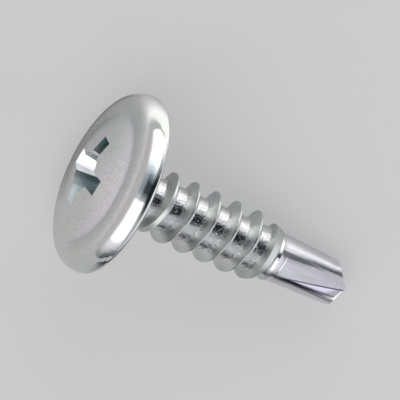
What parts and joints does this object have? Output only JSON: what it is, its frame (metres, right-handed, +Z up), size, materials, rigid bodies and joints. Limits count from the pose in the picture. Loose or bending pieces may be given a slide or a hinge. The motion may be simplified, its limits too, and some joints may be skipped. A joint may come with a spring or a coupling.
{
  "type": "self drilling screw",
  "caption": "Short self drilling screw with a low round washer-style head, cross recess, coarse left-hand tapping thread and forged drill point, lying at rest.",
  "frame": {"origin": "middle of the footprint of the screw as it lies at rest, on the surface that it lies on", "axes": "+X along the screw as it lies, from head to drill point, +Z up"},
  "size_m": [0.0176, 0.0108, 0.0106],
  "materials": {
    "zinc_plated_steel": "bright zinc plating over cold-formed carbon steel, slightly grained on the head, smooth on the shank and drill point"
  },
  "bodies": {
    "root": {"screw": "zinc_plated_steel"}
  },
  "joints": []
}
